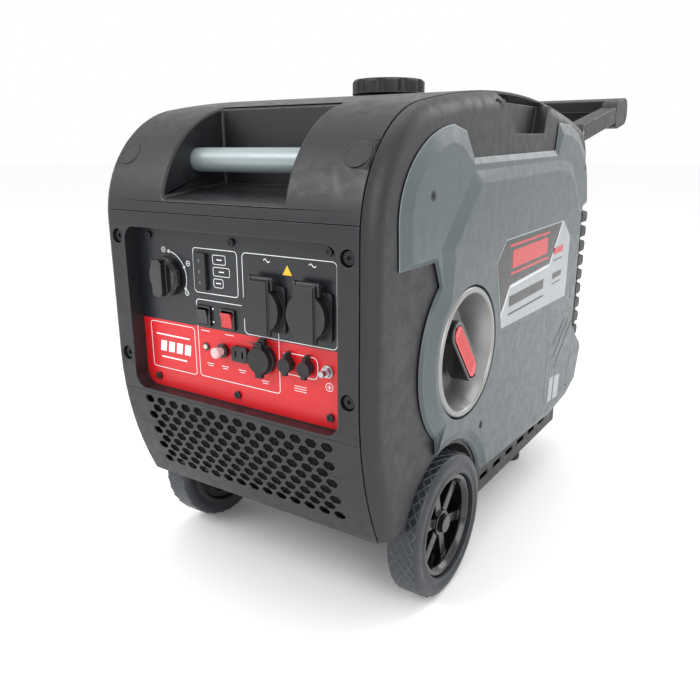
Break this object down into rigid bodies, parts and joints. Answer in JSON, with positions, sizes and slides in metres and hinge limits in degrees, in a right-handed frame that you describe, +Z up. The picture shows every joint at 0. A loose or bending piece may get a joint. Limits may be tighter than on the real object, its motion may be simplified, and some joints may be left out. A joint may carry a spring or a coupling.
{
  "type": "inverter generator",
  "caption": "Boxy wheeled inverter generator with recessed control panel, carry pocket, recoil starter dish, fuel cap and folding trolley handle.",
  "frame": {"origin": "on the floor, at the middle of the overall length and width with the trolley handle raised", "axes": "+Z up, the control panel faces -Y, the trolley handle reaches along +Y, the recoil starter is on +X"},
  "size_m": [0.375, 0.963, 0.5851],
  "materials": {
    "black_abs": "fine grained moulded ABS",
    "grey_abs": "satin painted ABS",
    "black_pp": "moulded polypropylene",
    "satin_alloy": "satin silver",
    "foot_rubber": "matt rubber",
    "black_steel": "black oxide",
    "tyre_rubber": "moulded tread",
    "gloss_black": "gloss",
    "zinc_steel": "zinc plated",
    "panel_print": "printed panel film",
    "lens_clear": "smoked lens",
    "red_plastic": "gloss red",
    "button_pink": "translucent silicone",
    "cap_rubber": "soft cap rubber",
    "socket_black": "moulded thermoplastic",
    "pulley_nylon": "natural nylon",
    "tank_steel": "painted steel",
    "cast_alloy": "die cast",
    "copper_stack": "enamelled winding"
  },
  "bodies": {
    "housing": {"front_bezel": "black_abs", "vent_grille": "black_abs", "top_cover": "black_abs", "side_shell_right": "black_abs", "side_shell_left": "black_abs", "side_cover_right": "grey_abs", "side_cover_left": "grey_abs", "rear_cover": "black_abs", "base_pan": "black_pp", "carry_handle_bar": "satin_alloy", "shoulder_plugs": "black_abs", "rear_feet": "foot_rubber", "bezel_bolts": "black_steel", "cover_screws": "black_steel", "panel_screws": "black_steel", "wheel_axle": "zinc_steel", "axle_caps": "gloss_black", "handle_brackets": "black_pp", "pivot_pins": "zinc_steel", "control_panel": "panel_print", "engine_switch_body": "black_pp", "indicator_strip": "black_pp", "indicator_lenses": "lens_clear", "rocker_housings": "black_pp", "breaker_body": "black_pp", "dc_socket": "black_pp", "charger_socket": "black_pp", "parallel_sockets": "black_pp", "ground_terminal": "zinc_steel", "mains_socket_left": "socket_black", "mains_socket_right": "socket_black", "recoil_dish": "satin_alloy", "fuel_tank": "tank_steel", "engine_block": "cast_alloy", "alternator_stator": "copper_stack", "muffler": "zinc_steel", "inverter_module": "cast_alloy", "air_cleaner": "black_pp"},
    "wheel_right": {"tyre_right": "tyre_rubber", "wheel_hub_right": "gloss_black"},
    "wheel_left": {"tyre_left": "tyre_rubber", "wheel_hub_left": "gloss_black"},
    "trolley_handle": {"trolley_arms": "black_pp", "trolley_grip": "black_pp"},
    "engine_switch": {"engine_switch_knob": "gloss_black"},
    "economy_rocker": {"rocker_economy": "gloss_black"},
    "start_rocker": {"rocker_start": "red_plastic"},
    "breaker_button": {"reset_button": "button_pink"},
    "charger_flap": {"charger_flap": "cap_rubber"},
    "parallel_cap_left": {"parallel_cap_left": "cap_rubber"},
    "parallel_cap_right": {"parallel_cap_right": "cap_rubber"},
    "socket_lid_left": {"socket_lid_left": "socket_black"},
    "socket_lid_right": {"socket_lid_right": "socket_black"},
    "pull_grip": {"pull_grip": "gloss_black", "grip_insert": "red_plastic"},
    "rope_pulley": {"rope_pulley": "pulley_nylon"},
    "crank": {"crankshaft": "zinc_steel", "alternator_rotor": "zinc_steel"},
    "filler_insert": {"cap_insert": "black_pp"},
    "fuel_cap": {"fuel_cap": "black_pp"}
  },
  "joints": [
    {"name": "wheel_right_spin", "type": "hinge", "parent": "housing", "child": "wheel_right", "pos_m": [0.1685, -0.32755, 0.083], "axis": [1, 0, 0], "continuous": true},
    {"name": "wheel_left_spin", "type": "hinge", "parent": "housing", "child": "wheel_left", "pos_m": [-0.1685, -0.32755, 0.083], "axis": [1, 0, 0], "continuous": true},
    {"name": "trolley_handle_fold", "type": "hinge", "parent": "housing", "child": "trolley_handle", "pos_m": [0, 0.20445, 0.518], "axis": [-1, 0, 0], "range_deg": [0, 100]},
    {"name": "engine_switch_turn", "type": "hinge", "parent": "housing", "child": "engine_switch", "pos_m": [-0.094, -0.47155, 0.361], "axis": [0, 1, 0], "range_deg": [0, 115]},
    {"name": "economy_rocker_press", "type": "hinge", "parent": "housing", "child": "economy_rocker", "pos_m": [-0.043, -0.46505, 0.324], "axis": [-1, 0, 0], "range_deg": [0, 18]},
    {"name": "start_rocker_press", "type": "hinge", "parent": "housing", "child": "start_rocker", "pos_m": [-0.009, -0.46505, 0.324], "axis": [-1, 0, 0], "range_deg": [0, 18]},
    {"name": "breaker_button_press", "type": "slide", "parent": "housing", "child": "breaker_button", "axis": [0, 1, 0], "range_m": [0, 0.004], "stiffness_N_per_m": 400},
    {"name": "charger_flap_open", "type": "hinge", "parent": "housing", "child": "charger_flap", "pos_m": [0.038, -0.4719, 0.307], "axis": [-1, 0, 0], "range_deg": [0, 110]},
    {"name": "parallel_cap_left_open", "type": "hinge", "parent": "housing", "child": "parallel_cap_left", "pos_m": [0.07, -0.4709, 0.3], "axis": [-1, 0, 0], "range_deg": [0, 110]},
    {"name": "parallel_cap_right_open", "type": "hinge", "parent": "housing", "child": "parallel_cap_right", "pos_m": [0.0935, -0.4709, 0.3], "axis": [-1, 0, 0], "range_deg": [0, 110]},
    {"name": "socket_lid_left_open", "type": "hinge", "parent": "housing", "child": "socket_lid_left", "pos_m": [0.0445, -0.47205, 0.373], "axis": [-1, 0, 0], "range_deg": [0, 110], "stiffness_Nm_per_rad": 0.02},
    {"name": "socket_lid_right_open", "type": "hinge", "parent": "housing", "child": "socket_lid_right", "pos_m": [0.0995, -0.47205, 0.373], "axis": [-1, 0, 0], "range_deg": [0, 110], "stiffness_Nm_per_rad": 0.02},
    {"name": "pull_grip_pull", "type": "slide", "parent": "housing", "child": "pull_grip", "axis": [1, 0, 0], "range_m": [0, 0.6], "stiffness_N_per_m": 40},
    {"name": "rope_pulley_spin", "type": "hinge", "parent": "housing", "child": "rope_pulley", "pos_m": [0.111, -0.29255, 0.278], "axis": [1, 0, 0], "range_deg": [0, 735]},
    {"name": "crank_spin", "type": "hinge", "parent": "housing", "child": "crank", "pos_m": [0.04, -0.29255, 0.278], "axis": [1, 0, 0], "continuous": true},
    {"name": "filler_insert_lift", "type": "slide", "parent": "housing", "child": "filler_insert", "axis": [0, 0, 1], "range_m": [0, 0.05]},
    {"name": "fuel_cap_turn", "type": "hinge", "parent": "filler_insert", "child": "fuel_cap", "pos_m": [0, -0.16155, 0.568], "axis": [0, 0, 1], "range_deg": [0, 90]}
  ],
  "couplings": [
    {"joint": "rope_pulley_spin", "follows": "pull_grip_pull", "rad_per_m": 21.28}
  ]
}
